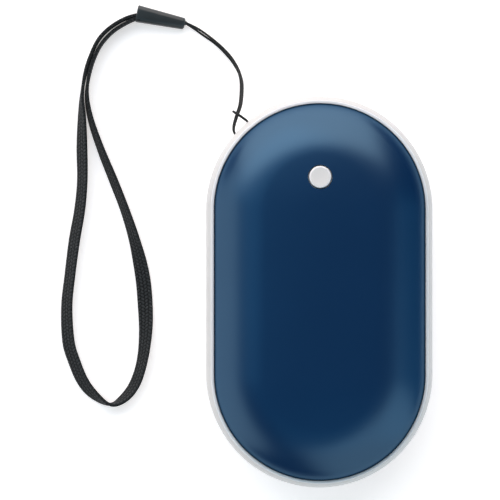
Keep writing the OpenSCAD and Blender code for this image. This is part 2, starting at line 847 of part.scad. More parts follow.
module heater_leads() {
  color([0.7, 0.12, 0.1]) at_seam() {
    film_leads(1, board_z);
    film_leads(-1, board_z - board_t);
  }
}

// Film heater glued under a cover's crown, upright as for the front cover
module heater_film() {
  intersection() {
    difference() {
      case_solid(cover_t + glue_t);
      case_solid(cover_t + glue_t + heater_t);
    }
    linear_extrude(case_h) obround(heater_r);
  }
}

module front_heater() {
  color(copper_film) at_seam() difference() {
    heater_film();
    translate([0, button_y, 0]) cylinder(r = guide_r + flange_clear, h = case_h);
  }
}

module rear_heater() {
  color(copper_film) at_seam() mirror([0, 0, 1]) heater_film();
}

// Bead on the rear film, with its two thin wires
module heat_sensor() {
  y = board_y + 2 * sensor_r;
  film_z = cover_t + glue_t + heater_t - crown_z(y + sensor_r - end_y);
  wire_r = sensor_r / 4;
  color([0.1, 0.1, 0.35]) at_seam() {
    translate([0, y, film_z + sensor_r]) sphere(sensor_r, $fn = 32);
    wire_pair([
      [0, y + sensor_r / 2, film_z + sensor_r],
      [0, y + 3 * sensor_r, film_z + 2 * sensor_r],
      [0, y + 4 * sensor_r, board_z - board_t - 2 * sensor_r],
      [0, y + 4 * sensor_r, board_z - board_t]
    ], wire_r, sensor_r);
  }
}

// Pad that presses a film heater to its cover and beds the cells
module foam_pad() {
  difference() {
    intersection() {
      case_solid(cover_t + glue_t + heater_t);
      translate([-foam_r, foam_y - foam_l, foam_z]) cube([2 * foam_r, foam_l, case_h]);
    }
    cell_pockets(cell_clear);
  }
}

module front_foam_pad() {
  color(foam_grey) at_seam() foam_pad();
}

module rear_foam_pad() {
  color(foam_grey) at_seam() mirror([0, 0, 1]) foam_pad();
}

module lanyard_cord() {
  color(lead_black) tube(cord_route, cord_d / 2);
}

// Ring of points round a bar with rounded corners: at x along it, raised by z, moved by y
function bar_ring(x, w, h, corner, z = 0, y = 0) = [
  for (quarter = [0:3], step = [0:3])
    let (a = 90 * quarter + 30 * step, mid = 90 * quarter + 45)
      [
        x,
        y + sign(cos(mid)) * (w / 2 - corner) + corner * cos(a),
        z + h / 2 + sign(sin(mid)) * (h / 2 - corner) + corner * sin(a)
      ]
];

// Moulded ferrule that joins the strap's two ends to the cord's two ends
module strap_ferrule() {
  e = ferrule_edge;
  r = ferrule_tip_edge;
  collar_z = (ferrule_tip_h - collar_h) / 2;
  color([0.18, 0.2, 0.21]) translate(ferrule_at) rotate([0, 0, ferrule_turn]) skin([
    bar_ring(0, ferrule_w - 2 * e, ferrule_h - 2 * e, ferrule_corner - e, e),
    bar_ring(e, ferrule_w, ferrule_h, ferrule_corner),
    for (a = [0:30:90])
      let (k = r * (1 - cos(a)))
        bar_ring(
          ferrule_l - r + r * sin(a),
          ferrule_tip_w - 2 * k, ferrule_tip_h - k, ferrule_corner - k / 2, k / 2
        ),
    bar_ring(ferrule_l, collar_w, collar_h, collar_corner, collar_z, collar_off),
    bar_ring(ferrule_l + collar_l, collar_w, collar_h, collar_corner, collar_z, collar_off)
  ]);
}

// Flat band that follows its route, leaning as the route says
module wrist_strap() {
  edge = strap_t / 4;
  w = strap_w / 2;
  t = strap_t / 2;
  outline = [
    [w, t - edge], [w - edge, t], [edge - w, t], [-w, t - edge],
    [-w, edge - t], [edge - w, -t], [w - edge, -t], [w, edge - t]
  ];
  middle = [for (p = strap_route) [p.x, p.y, w * sin(p.z) + t * abs(cos(p.z))]];
  color([0.13, 0.14, 0.15]) skin([
    for (i = [0:len(middle) - 1])
      let (
        h = heading(middle, i),
        side = square_to(cross([0, 0, 1], h), h),
        up = cross(h, side),
        across = cos(strap_route[i].z) * side + sin(strap_route[i].z) * up,
        face = cross(h, across)
      ) [for (q = outline) middle[i] + q.x * across + q.y * face]
  ]);
}

front_cover();
rear_cover();
front_frame();
rear_frame();
case_screws();
button_cap();
button_guide();
tact_switch();
switch_plunger();
indicator_leds();
main_board();
board_screws();
usb_shell();
usb_tongue();
control_chip();
charger_chip();
power_inductor();
capacitors();
battery_cells();
battery_bracket();
nickel_strips();
protection_board();
battery_leads();
front_heater();
rear_heater();
heater_leads();
heat_sensor();
front_foam_pad();
rear_foam_pad();
lanyard_cord();
strap_ferrule();
wrist_strap();
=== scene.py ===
import json
import math

import bmesh
import bpy
from mathutils import Matrix, Vector


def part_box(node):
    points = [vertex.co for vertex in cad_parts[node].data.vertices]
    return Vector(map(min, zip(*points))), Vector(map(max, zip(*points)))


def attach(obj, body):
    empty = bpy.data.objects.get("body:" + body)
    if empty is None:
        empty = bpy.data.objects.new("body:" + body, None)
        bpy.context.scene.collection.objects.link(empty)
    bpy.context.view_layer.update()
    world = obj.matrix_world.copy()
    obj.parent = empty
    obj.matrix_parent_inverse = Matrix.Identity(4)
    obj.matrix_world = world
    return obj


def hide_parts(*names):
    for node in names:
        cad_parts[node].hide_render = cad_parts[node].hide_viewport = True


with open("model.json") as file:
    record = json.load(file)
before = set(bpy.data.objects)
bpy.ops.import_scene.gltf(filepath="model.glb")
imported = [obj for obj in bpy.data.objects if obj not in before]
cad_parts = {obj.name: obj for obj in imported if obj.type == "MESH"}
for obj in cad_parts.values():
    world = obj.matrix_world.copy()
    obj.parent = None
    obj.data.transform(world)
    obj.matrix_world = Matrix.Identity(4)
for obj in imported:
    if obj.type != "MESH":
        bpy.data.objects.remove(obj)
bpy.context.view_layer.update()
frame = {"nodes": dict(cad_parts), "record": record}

nodes = frame["nodes"]

# Sizes of the case, in metres. Heights are measured from the seam between its two halves.
MM = 0.001
SEAM = 12.35 * MM
END_Y = 21.5 * MM
STRAIGHT = 2 * END_Y
HALF_H = 12.65 * MM
HALF_W = 29.5 * MM
# Three arcs make the covers' outline, from the seam up: side, shoulder and crown
CROWN_RISE = 0.4 * MM
SHOULDER_R = 24 * MM
SHOULDER_TURN = math.radians(30)
SHOULDER_DROP = SHOULDER_R * (1 - math.cos(SHOULDER_TURN))
SIDE_R = (HALF_H - CROWN_RISE - SHOULDER_DROP) / math.cos(SHOULDER_TURN)
SIDE_X = HALF_W - SIDE_R
SHOULDER_X = SIDE_X + (SIDE_R - SHOULDER_R) * math.sin(SHOULDER_TURN)
SHOULDER_Z = (SIDE_R - SHOULDER_R) * math.cos(SHOULDER_TURN)
CROWN_TURN = 2 * math.atan(CROWN_RISE / SHOULDER_X)
CROWN_R = SHOULDER_R + SHOULDER_X / math.sin(CROWN_TURN)
# Thickness, half width and lower edge of a cover
COVER_T = 1 * MM
COVER_X = 27.29 * MM
SEAT = 4.2 * MM
BUTTON_Y = 29.7 * MM
BUTTON_R = 2.85 * MM
BUTTON_GAP = 0.3 * MM
# Width of the broken edges of the covers
BROKEN = 0.15 * MM


# Camera

# Width of the sensor and focal length, in millimetres
SENSOR = 36
LENS = 248.5
CAMERA_AT = (-18.07 * MM, 10.91 * MM, 912.35 * MM)


def stand_camera():
    """Looks straight down on the warmer and its strap."""
    data = bpy.data.cameras.new("camera")
    data.sensor_width = SENSOR
    data.lens = LENS
    camera = bpy.data.objects.new("camera", data)
    camera.location = CAMERA_AT
    bpy.context.scene.collection.objects.link(camera)
    bpy.context.scene.camera = camera


stand_camera()


# Finishes

class Value:
    """A number, colour or direction that changes over a surface, with sums on it."""

    def __init__(self, finish, socket):
        self.finish = finish
        self.socket = socket

    def maths(self, operation, *terms):
        """What a sum on values or numbers gives."""
        return self.finish.node("ShaderNodeMath", {"operation": operation}, dict(enumerate(terms)))

    def __add__(self, other):
        return self.maths("ADD", self, other)

    def __sub__(self, other):
        return self.maths("SUBTRACT", self, other)

    def __rsub__(self, other):
        return self.maths("SUBTRACT", other, self)

    def __mul__(self, other):
        return self.maths("MULTIPLY", self, other)

    def __truediv__(self, other):
        return self.maths("DIVIDE", self, other)

    def __pow__(self, other):
        return self.maths("POWER", self, other)

    __radd__ = __add__
    __rmul__ = __mul__

    def size(self):
        """The value without its sign."""
        return self.maths("ABSOLUTE", self)

    def part(self):
        """What is left above the whole number below."""
        return self.maths("FRACT", self)

    def rise(self, low, high):
        """0 below low, 1 above high, and a soft step between."""
        return self.finish.node(
            "ShaderNodeMapRange", {"interpolation_type": "SMOOTHSTEP"},
            {"Value": self, "From Min": low, "From Max": high},
        )


class Finish:
    """A procedural material, built up node by node."""

    def __init__(self, name, **constants):
        self.material = bpy.data.materials.new(name)
        self.material.use_nodes = True
        tree = self.material.node_tree
        self.nodes, self.links = tree.nodes, tree.links
        self.shader = next(n for n in self.nodes if n.type == "BSDF_PRINCIPLED")
        self.set(**constants)

    def plug(self, socket, value):
        """Links a changing value to a socket, or sets a fixed one."""
        if isinstance(value, Value):
            self.links.new(value.socket, socket)
        else:
            socket.default_value = value

    def set(self, **sockets):
        """Sets sockets of the main shader."""
        for name, value in sockets.items():
            self.plug(self.shader.inputs[name.replace("_", " ")], value)

    def node(self, kind, settings, sockets, output=0):
        """Makes a node and returns one of its outputs."""
        made = self.nodes.new(kind)
        for key, value in settings.items():
            setattr(made, key, value)
        for key, value in sockets.items():
            self.plug(made.inputs[key], value)
        return Value(self, made.outputs[output])

    def place(self, stretch=(1, 1, 1), centre=(0, 0, 0)):
        """Position on the piece in metres, from a centre, stretched along each axis."""
        at = self.node("ShaderNodeTexCoord", {}, {}, "Object")
        shift = [-c * s for c, s in zip(centre, stretch)]
        return self.node(
            "ShaderNodeMapping", {}, {"Vector": at, "Scale": stretch, "Location": shift}
        )

    def along(self):
        """Place on a cord or strap: both parts of it, how far round it, and how far along it."""
        at = self.node("ShaderNodeUVMap", {"uv_map": "along"}, {})
        return at, self.split(at, "X"), self.split(at, "Y")

    def split(self, vector, axis):
        """One part of a vector."""
        return self.node("ShaderNodeSeparateXYZ", {}, {0: vector}, axis)

    def vector_maths(self, operation, output, *terms):
        """What a sum on vectors gives."""
        return self.node(
            "ShaderNodeVectorMath", {"operation": operation}, dict(enumerate(terms)), output
        )

    def length(self, vector):
        """Length of a vector."""
        return self.vector_maths("LENGTH", "Value", vector)

    def level(self, vector):
        """The vector without its height."""
        return self.vector_maths("MULTIPLY", 0, vector, (1, 1, 0))

    def noise(self, vector, scale, detail=2.0, rough=0.5):
        """Soft irregular noise from 0 to 1."""
        return self.node(
            "ShaderNodeTexNoise", {},
            {"Vector": vector, "Scale": scale, "Detail": detail, "Roughness": rough},
        )

    def cells(self, vector, scale, feature="F1"):
        """Distance to the middle or, by the feature, to the edge of irregular cells."""
        return self.node(
            "ShaderNodeTexVoronoi", {"feature": feature}, {"Vector": vector, "Scale": scale}
        )

    def mix(self, share, first, second):
        """Colour between two others."""
        return self.node(
            "ShaderNodeMix", {"data_type": "RGBA"}, {0: share, 6: rgba(first), 7: rgba(second)}, 2
        )

    def blend_under(self, share, sockets):
        """Mixes a share of a second shader into the finish."""
        under = self.node("ShaderNodeBsdfPrincipled", {}, sockets)
        output = next(n for n in self.nodes if n.type == "OUTPUT_MATERIAL")
        over = Value(self, self.shader.outputs[0])
        both = self.node("ShaderNodeMixShader", {}, {0: share, 1: over, 2: under})
        self.plug(output.inputs["Surface"], both)

    def relief(self, height, depth):
        """Bumps of that depth in metres, where height runs from 0 to 1."""
        self.set(Normal=self.node("ShaderNodeBump", {}, {"Height": height, "Distance": depth}))


def rgba(colour):
    """A changing colour as it is, or a fixed one with its alpha."""
    return colour if isinstance(colour, Value) else (*colour, 1.0)


def shade(colour, share):
    """A colour made darker or lighter."""
    return [share * c for c in colour]


def blue_anodised():
    """Satin metal of the covers, with the dye showing through it, and painted shade along its
    edge.
    """
    f = Finish("blue_anodised", Metallic=1.0, Specular_Tint=(0.1, 0.1, 0.1, 1.0))
    # Painted shade: below these heights from the seam, along the rolled rim, the covers' colours
    # turn darker.
    painted_shade_below, unshaded_above = 6.4 * MM, 7.2 * MM
    from_seam = f.split(f.place(centre=(0, 0, SEAM)), "Z").size()
    edge = 1 - from_seam.rise(painted_shade_below, unshaded_above)
    grain = f.noise(f.place(), scale=5200, detail=3)
    mottle = f.noise(f.place(), scale=55, detail=2)
    rough = 0.27 + 0.06 * grain
    metal = f.mix(mottle, (0.082, 0.145, 0.194), (0.09, 0.16, 0.213))
    # The metal's colour turns darker at the edge: painted shade.
    f.set(Base_Color=f.mix(edge, metal, (0.01, 0.022, 0.036)), Roughness=rough)
    f.relief(grain, depth=0.003 * MM)
    dye = f.mix(mottle, (0.0008, 0.033, 0.124), (0.0012, 0.038, 0.138))
    # The dye turns darker at the edge too: painted shade.
    dye_with_painted_shade = f.mix(edge, dye, (0.001, 0.014, 0.04))
    f.blend_under(0.5, {"Base Color": dye_with_painted_shade, "Roughness": rough, "Specular IOR Level": 0.0})
    return f


def white_moulding():
    """Half-gloss plastic of the side band, with painted light on the flat lips beside the covers.
    """
    f = Finish("white_moulding", Specular_IOR_Level=0.25)
    grain = f.noise(f.place(), scale=2600, detail=3)
    cloud = f.noise(f.place(), scale=40, detail=2)
    # Painted light: the flat lips beside the covers are coloured near white, brighter than the
    # side, to lift the shade cast by the covers' walls.
    side_below, painted_light_above = 4.9 * MM, 5.1 * MM
    lip_painted_light = f.split(f.place(centre=(0, 0, SEAM)), "Z").size().rise(side_below, painted_light_above)
    side = f.mix(cloud, (0.64, 0.632, 0.62), (0.67, 0.662, 0.65))
    f.set(
        # The lips' near-white colour is painted light.
        Base_Color=f.mix(lip_painted_light, side, (0.93, 0.94, 0.95)),
        Roughness=0.34 + 0.1 * grain,
    )
    f.relief(grain, depth=0.003 * MM)
    return f


def button_white():
    """Satin plastic, a shade greyer in the dish than on its edge, which is lighter by a painted
    highlight.
    """
    f = Finish("button_white")
    at = f.place(centre=(0, BUTTON_Y, 0))
    grain = f.noise(at, scale=3000, detail=3)
    # Painted highlight: the ring round the edge is coloured lighter than the dish.
    edge = f.length(f.level(at)).rise(0.78 * BUTTON_R, 0.93 * BUTTON_R)
    f.set(
        Base_Color=f.mix(edge, (0.81, 0.775, 0.745), (0.92, 0.9, 0.89)),
        Roughness=0.36 + 0.12 * grain - 0.12 * edge,
    )
    f.relief(grain, depth=0.004 * MM)
    return f


def strap_weave():
    """Flat woven band: lengthwise ribs of slanted yarns that turn from rib to rib, with painted
    shade where the yarns sink.
    """
    f = Finish("strap_weave", Sheen_Weight=0.02, Sheen_Roughness=0.5, Specular_IOR_Level=0.15)
    at, across, along = f.along()
    rib = across / RIB_W
    side = (rib * 0.5).part().rise(0.499, 0.501) * 2 - 1
    in_rib = (rib.part() * 2 - 1).size()
    stitch = (along / STITCH + 0.45 * side * rib.part()).part()
    yarn = 1 - (stitch * 2 - 1).size() ** 3
    selvedge = ((across / (STRAP_W / MM)).part() * 2 - 1).size().rise(0.9, 1)
    height = yarn * (1 - in_rib ** 4 + 0.6 * selvedge)
    fuzz = f.noise(at, scale=9, detail=3, rough=0.7)
    speck = f.noise(at, scale=1.9, detail=1).rise(0.56, 0.7) * height
    # Painted shade: the colour turns near black where the yarns sink and lighter on their raised
    # tops.
    yarns = f.mix(height * (0.5 + 0.7 * fuzz), (0.001, 0.0014, 0.0016), (0.034, 0.038, 0.04))
    f.set(
        Base_Color=f.mix(speck * 0.6, yarns, (0.085, 0.088, 0.09)),
        Roughness=0.82 - 0.2 * height,
    )
    f.relief(height + 0.25 * fuzz, depth=0.14 * MM)
    return f


def cord_braid():
    """Thin round cord, braided of eight yarns, with painted shade where the yarns sink."""
    f = Finish("cord_braid", Sheen_Weight=0.03, Sheen_Roughness=0.5, Specular_IOR_Level=0.3)
    at, turn, along = f.along()
    over = ((turn * YARNS + along / BRAID).part() * 2 - 1).size()
    under = ((turn * YARNS - along / BRAID).part() * 2 - 1).size()
    height = 1 - (over * under) ** 0.6
    fuzz = f.noise(at, scale=14, detail=3, rough=0.7)
    # Painted shade: the colour turns darker where the yarns sink between one another.
    yarns = f.mix(height * (0.5 + 0.6 * fuzz), (0.003, 0.0035, 0.0035), (0.018, 0.02, 0.02))
    f.set(
        Base_Color=yarns,
        Roughness=0.72 - 0.2 * height,
    )
    f.relief(height + 0.2 * fuzz, depth=0.05 * MM)
    return f


def ferrule_moulding():
    """Charcoal plastic with a soft, fine texture."""
    f = Finish("ferrule_moulding")
    grain = f.noise(f.place(), scale=3600, detail=4, rough=0.6)
    cloud = f.noise(f.place(), scale=260, detail=2)
    f.set(
        Base_Color=f.mix(cloud, (0.022, 0.028, 0.03), (0.031, 0.038, 0.04)),
        Roughness=0.24 + 0.16 * grain,
    )
    f.relief(grain, depth=0.02 * MM)
    return f


def plain_metal(name, colour, streaks, rough):
    """Metal with fine streaks along one axis."""
    f = Finish(name, Metallic=1.0)
    lines = f.noise(f.place(streaks), scale=900, detail=4, rough=0.65)
    f.set(
        Base_Color=f.mix(lines, shade(colour, 0.86), colour),
        Roughness=rough + 0.18 * lines,
    )
    f.relief(lines, depth=0.004 * MM)
    return f


def textured_plastic(name, colour, rough=0.46):
    """Moulded plastic with a fine spark-eroded texture."""
    f = Finish(name)
    pits = f.cells(f.place(), scale=3400)
    cloud = f.noise(f.place(), scale=120, detail=3)
    f.set(
        Base_Color=f.mix(cloud, shade(colour, 0.8), shade(colour, 1.2)),
        Roughness=rough + 0.2 * pits,
    )
    f.relief(pits, depth=0.012 * MM)
    return f


def inlet_insulator():
    """Black insulator whose tongue carries gilded contacts on both faces."""
    black, gold = (0.02, 0.02, 0.022), (0.83, 0.6, 0.25)
    pitch, first, last, half_row, soft = (s * MM for s in (0.5, 44.6, 48.1, 3, 0.1))
    f = textured_plastic("inlet_insulator", black)
    at = f.place()
    x, y = f.split(at, "X"), f.split(at, "Y")
    contact = 1 - ((x / pitch + 0.5).part() - 0.5).size().rise(0.26, 0.3)
    in_length = y.rise(first, first + soft) * (1 - y.rise(last, last + soft))
    in_row = 1 - x.size().rise(half_row, half_row + soft / 2)
    gilt = contact * in_length * in_row
    f.set(Base_Color=f.mix(gilt, black, gold), Metallic=gilt)
    return f


def chip_epoxy(node):
    """Moulded chip with a row of tinned legs along two sides and a dimple at its first leg."""
    low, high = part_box(node)
    middle, reach = (low + high) / 2, (high - low) / 2
    f = Finish("epoxy_" + node)
    at = f.place(centre=middle)
    grain = f.noise(at, scale=3000, detail=3)
    leg = f.split(at, "Y").size().rise(0.93 * reach.y, 0.935 * reach.y)
    dimple_x, dimple_y, dimple_r, soft = (s * MM for s in (0.8, 1.1, 0.28, 0.06))
    dimple = f.place(centre=(low.x + dimple_x, low.y + dimple_y, high.z))
    dip = 1 - f.length(dimple).rise(dimple_r, dimple_r + soft)
    epoxy = f.mix(dip, (0.018, 0.018, 0.02), (0.05, 0.05, 0.052))
    f.set(
        Base_Color=f.mix(leg, epoxy, (0.62, 0.61, 0.58)),
        Metallic=leg,
        Roughness=0.55 + 0.2 * grain - 0.25 * leg,
    )
    f.relief(grain * 0.4 - dip, depth=0.03 * MM)
    return f


def board_mask(name, top, bottom):
    """Green solder mask over copper tracks, and the pale edge of the glass laminate."""
    mask_t, soft = 0.02 * MM, 0.01 * MM
    f = Finish(name)
    at = f.place()
    tracks = f.cells(at, scale=620, feature="DISTANCE_TO_EDGE").rise(0.05, 0.08)
    pads = 1 - f.cells(at, scale=900).rise(0.14, 0.18)
    height = f.split(at, "Z")
    upper = height.rise(top - mask_t - soft, top - mask_t)
    lower = 1 - height.rise(bottom + mask_t, bottom + mask_t + soft)
    face = upper + lower
    green = f.mix(tracks, (0.03, 0.2, 0.1), (0.012, 0.1, 0.05))
    faced = f.mix(pads, green, (0.6, 0.58, 0.52))
    f.set(
        Base_Color=f.mix(face, (0.42, 0.4, 0.22), faced),
        Roughness=0.65 - 0.35 * face,
    )
    f.relief(1 - tracks, depth=0.03 * MM)
    return f


def heater_foil():
    """Amber film with a copper track that runs up and down in it."""
    lane_w = 2.4 * MM
    f = Finish("heater_foil", Coat_Weight=0.4, Coat_Roughness=0.2)
    at = f.place()
    lane = (f.split(at, "X") / lane_w).part() - 0.5
    wobble = 0.5 * f.noise(at, scale=160, detail=1) - 0.25
    track = 1 - (lane + 0.15 * wobble).size().rise(0.26, 0.3)
    grain = f.noise(at, scale=1500, detail=3)
    f.set(
        Base_Color=f.mix(track, (0.42, 0.17, 0.03), (0.62, 0.3, 0.12)),
        Metallic=0.75 * track,
        Roughness=0.3 + 0.2 * grain,
    )
    f.relief(track + 0.2 * grain, depth=0.03 * MM)
    return f


def closed_foam():
    """Dark foam with fine closed cells."""
    f = Finish("closed_foam")
    pores = f.cells(f.place(), scale=1800)
    f.set(
        Base_Color=f.mix(pores, (0.05, 0.05, 0.055), (0.13, 0.13, 0.14)),
        Roughness=0.95 - 0.1 * pores,
    )
    f.relief(pores, depth=0.12 * MM)
    return f


def cell_sleeve():
    """Battery cells: shrunk sleeve with fine wrinkles, and bare steel at both ends."""
    bare_top, bare_base, soft = 1.5 * MM, 0.25 * MM, 0.1 * MM
    low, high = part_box("battery_cells")
    f = Finish("cell_sleeve")
    at = f.place()
    end = f.split(at, "Y")
    top = end.rise(high.y - bare_top, high.y - bare_top + soft)
    base = 1 - end.rise(low.y + bare_base, low.y + bare_base + soft / 2)
    bare = top + base
    wrinkle = f.noise(f.place(stretch=(1, 0.12, 1)), scale=700, detail=3)
    sleeve = f.mix(wrinkle, (0.02, 0.16, 0.22), (0.03, 0.21, 0.28))
    f.set(
        Base_Color=f.mix(bare, sleeve, (0.6, 0.6, 0.6)),
        Metallic=bare,
        Roughness=0.32 + 0.1 * wrinkle,
    )
    f.relief(wrinkle, depth=0.02 * MM)
    return f


def lead_sleeve(name, colour):
    """Soft insulation with a faint lengthwise draw."""
    f = Finish(name)
    draw = f.noise(f.place(), scale=2400, detail=2)
    f.set(
        Base_Color=f.mix(draw, shade(colour, 0.8), colour),
        Roughness=0.4 + 0.15 * draw,
    )
    f.relief(draw, depth=0.01 * MM)
    return f


def pressed_ferrite():
    """Inductor: grey pressed powder, and the copper that shows in its trough."""
    inner_r, outer_r, soft, depth = (s * MM for s in (1.78, 2.5, 0.02, 0.2))
    low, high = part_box("power_inductor")
    middle = (low + high) / 2
    f = Finish("pressed_ferrite")
    at = f.place(centre=(middle.x, middle.y, high.z))
    speckle = f.cells(at, scale=4200)
    out = f.length(f.level(at))
    deep = 1 - f.split(at, "Z").rise(-1.5 * depth, -depth)
    in_ring = out.rise(inner_r, inner_r + soft) * (1 - out.rise(outer_r, outer_r + soft))
    copper = deep * in_ring
    powder = f.mix(speckle, (0.07, 0.07, 0.072), (0.16, 0.16, 0.165))
    f.set(
        Base_Color=f.mix(copper, powder, (0.7, 0.32, 0.14)),
        Metallic=copper,
        Roughness=0.75 - 0.4 * copper,
    )
    f.relief(speckle, depth=0.03 * MM)
    return f


def fired_ceramic():
    """Capacitors: tan ceramic with fine pores, and the bare top of the tall one."""
    cap_t, soft = 0.45 * MM, 0.05 * MM
    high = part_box("capacitors")[1]
    f = Finish("fired_ceramic")
    at = f.place()
    pores = f.cells(at, scale=3800)
    metal_top = f.split(at, "Z").rise(high.z - cap_t - soft, high.z - cap_t)
    ceramic = f.mix(pores, (0.3, 0.2, 0.12), (0.42, 0.3, 0.19))
    f.set(
        Base_Color=f.mix(metal_top, ceramic, (0.66, 0.66, 0.67)),
        Metallic=metal_top,
        Roughness=0.6 - 0.25 * metal_top,
    )
    f.relief(pores, depth=0.02 * MM)
    return f


def cast_resin():
    """Indicator lights: white package with a yellow cast top."""
    resin_t, soft = 0.35 * MM, 0.05 * MM
    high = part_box("indicator_leds")[1]
    f = Finish("cast_resin")
    at = f.place()
    top = f.split(at, "Z").rise(high.z - resin_t - soft, high.z - resin_t)
    grain = f.noise(at, scale=3000, detail=2)
    f.set(
        Base_Color=f.mix(top, (0.8, 0.8, 0.78), (0.78, 0.62, 0.16)),
        Roughness=0.25 + 0.2 * grain,
    )
    f.relief(grain, depth=0.004 * MM)
    return f


# Cords

# Width of one rib of the strap and the length of one stitch, in millimetres
RIB_W = 1.0
STITCH = 0.95
# Yarns that run each way round the cord, the distance along it from one to the next, in
# millimetres, and the share of its radius that the grooves between them take
YARNS = 4
BRAID = 1.3
BRAID_DEPTH = 0.07
# Points that a curve has for each stretch of its route
CURVE_STEPS = 10
# Edges that turn by more degrees than this stay sharp, on the soft pieces and on the case
SHARP = 40
CASE_SHARP = 30
# Points nearer than this are one
CLOSE = 0.001 * MM

CORD_D = 0.6 * MM
# Place of the cord's middle, in millimetres
CORD_ROUTE = [
    (-35.3, 71.0, 1.6), (-32.1, 69.5, 1.0), (-29.8, 68.0, 0.7), (-27.2, 66.0, 0.7),
    (-25.1, 64.1, 0.8), (-23.1, 61.9, 1.3), (-21.6, 59.5, 2.2), (-20.6, 57.1, 3.6),
    (-20.0, 54.1, 6.3), (-20.3, 49.1, 10.8), (-21.4, 45.7, 12.3), (-22.2, 43.0, 12.7),
    (-22.1, 41.4, 12.7), (-20.8, 40.2, 12.7), (-18.9, 40.5, 12.7), (-17.9, 42.3, 12.7),
    (-18.6, 44.2, 12.8), (-19.8, 45.3, 13.0), (-21.4, 46.4, 13.0), (-22.15, 46.85, 12.6),
    (-22.45, 47.05, 11.7), (-22.15, 46.85, 10.8), (-21.3, 46.35, 10.35), (-19.8, 45.3, 10.7),
    (-18.6, 44.2, 11.8), (-17.9, 42.3, 12.0), (-18.9, 40.5, 12.0), (-20.8, 40.2, 12.0),
    (-22.1, 41.4, 12.0), (-22.4, 43.0, 12.0), (-21.8, 45.7, 11.7), (-20.8, 49.1, 10.1),
    (-20.5, 54.1, 5.5), (-20.9, 57.1, 2.8), (-22.0, 59.4, 1.3), (-23.6, 61.7, 0.6),
    (-26.9, 65.1, 0.3), (-30.8, 67.9, 0.3), (-32.9, 69.4, 0.5), (-35.3, 70.9, 1.0),
]

STRAP_W = 4 * MM
STRAP_T = 0.9 * MM
STRAP_GROOVE = 0.05 * MM
# Place of the strap's middle, in millimetres, and its lean in degrees from flat on its face
STRAP_ROUTE = [
    (-46.9, 72.6, 90), (-48.0, 72.8, 90), (-51.2, 71.8, 90), (-55.0, 69.5, 90),
    (-58.0, 66.4, 90), (-60.2, 61.8, 90), (-61.6, 57.1, 90), (-62.4, 51.5, 82),
    (-62.4, 46.1, 64), (-62.4, 38.0, 49), (-62.3, 29.3, 51), (-63.0, 21.5, 48),
    (-64.4, 13.4, 46), (-65.6, 4.0, 49), (-66.4, -4.0, 46), (-66.0, -13.0, 39),
    (-64.5, -18.3, 40), (-62.3, -23.5, 43), (-59.4, -27.1, 56), (-55.1, -29.8, 88),
    (-51.6, -28.4, 117), (-48.5, -24.5, 129), (-46.5, -18.3, 131), (-45.6, -10.5, 147),
    (-45.8, -2.4, 168), (-46.6, 5.0, 159), (-48.5, 13.4, 133), (-51.0, 21.3, 121),
    (-54.1, 29.3, 119), (-57.3, 37.2, 113), (-60.0, 45.1, 106), (-61.1, 51.5, 98),
    (-60.5, 57.1, 90), (-59.0, 61.9, 90), (-57.0, 65.6, 90), (-54.0, 68.7, 90),
    (-50.6, 70.8, 90), (-48.3, 71.8, 90), (-47.0, 71.6, 90),
]


def eased(route, steps):
    """Points of a smooth curve through a route, that many for each of its stretches."""
    points = [Vector(p) for p in route]
    points = [points[0], *points, points[-1]]
    curve = []
    for a, b, c, d in zip(points, points[1:], points[2:], points[3:]):
        for t in (i / steps for i in range(steps)):
            curve.append((
                2 * b + (c - a) * t + (2 * a - 5 * b + 4 * c - d) * t ** 2
                + (3 * b - a - 3 * c + d) * t ** 3
            ) / 2)
    return curve + [points[-1]]


def headings(points):
    """Direction of a curve at each of its points."""
    return [
        (points[min(i + 1, len(points) - 1)] - points[max(i - 1, 0)]).normalized()
        for i in range(len(points))
    ]


def swept(name, centres, rings, round_by):
    """Closed tube through rings of points, and its length. Its UV map says how far round, by
    round_by, and how far along in millimetres each point is."""
    bm = bmesh.new()
    uv = bm.loops.layers.uv.new("along")
    lengths = [0.0]
    for a, b in zip(centres, centres[1:]):
        lengths.append(lengths[-1] + (b - a).length / MM)
    loops = [[bm.verts.new(p) for p in ring] for ring in rings]
    count = len(loops[0])
    for i in range(len(loops) - 1):
        for j in range(count):
            k = (j + 1) % count
            face = bm.faces.new((loops[i][j], loops[i][k], loops[i + 1][k], loops[i + 1][j]))
            places = ((j, i), (j + 1, i), (j + 1, i + 1), (j, i + 1))
            for corner, (side, ring) in zip(face.loops, places):
                corner[uv].uv = (round_by[side], lengths[ring])
    bm.faces.new(loops[0])
    bm.faces.new(loops[-1])
    bmesh.ops.recalc_face_normals(bm, faces=bm.faces)
    return object_of(name, bm), lengths[-1] * MM


def object_of(name, bm, sharp=SHARP):
    """Object of a finished bmesh, smooth but for edges sharper than that many degrees."""
    mesh = bpy.data.meshes.new(name)
    bm.to_mesh(mesh)
    bm.free()
    mesh.shade_smooth()
    mesh.set_sharp_from_angle(angle=math.radians(sharp))
    piece = bpy.data.objects.new(name, mesh)
    bpy.context.scene.collection.objects.link(piece)
    return piece


def fitted(piece, finish, body, slot, *stands_for):
    """Gives a piece its finish and body, and hides the CAD nodes that it stands for. The slot is
    not used.
    """
    piece.data.materials.clear()
    piece.data.materials.append(finish.material)
    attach(piece, body)
    if stands_for:
        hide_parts(*stands_for)
    return piece


